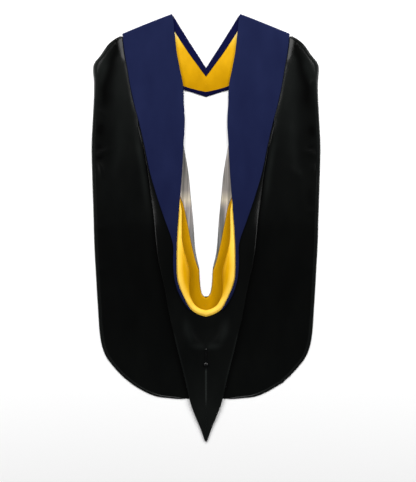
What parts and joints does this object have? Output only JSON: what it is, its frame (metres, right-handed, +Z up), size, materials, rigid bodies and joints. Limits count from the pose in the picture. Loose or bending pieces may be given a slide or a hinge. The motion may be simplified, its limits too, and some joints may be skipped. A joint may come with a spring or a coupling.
{
  "type": "doctoral academic hood",
  "caption": "Doctoral academic hood laid flat with its back up: velvet band, black cowl and tail, side panels, satin lining rolled over the rim of the loop",
  "frame": {"origin": "centre of the hood's width and length, on the surface that it lies on", "axes": "+X to the right of the hood seen from above, +Y towards the neck, +Z up from the surface, out of the hood's back"},
  "size_m": [0.652, 1.2188, 0.0249],
  "materials": {
    "navy_velvet": "velvet pile",
    "black_cloth": "soft sheen",
    "gold_satin": "satin",
    "silver_satin": "satin"
  },
  "bodies": {
    "root": {"velvet_band_left": "navy_velvet", "velvet_band_right": "navy_velvet", "yoke_lining_left": "gold_satin", "yoke_lining_right": "gold_satin", "side_panel_left": "black_cloth", "side_panel_right": "black_cloth", "cowl_upper_left": "black_cloth", "cowl_upper_right": "black_cloth", "cowl_under_left": "black_cloth", "cowl_under_right": "black_cloth", "lining_silver_left": "silver_satin", "lining_silver_right": "silver_satin", "lining_gold_under_left": "gold_satin", "lining_gold_under_right": "gold_satin", "lining_lip_left": "gold_satin", "lining_lip_right": "gold_satin", "button": "black_cloth", "cord_loop": "black_cloth", "loop_knot": "black_cloth"}
  },
  "joints": []
}
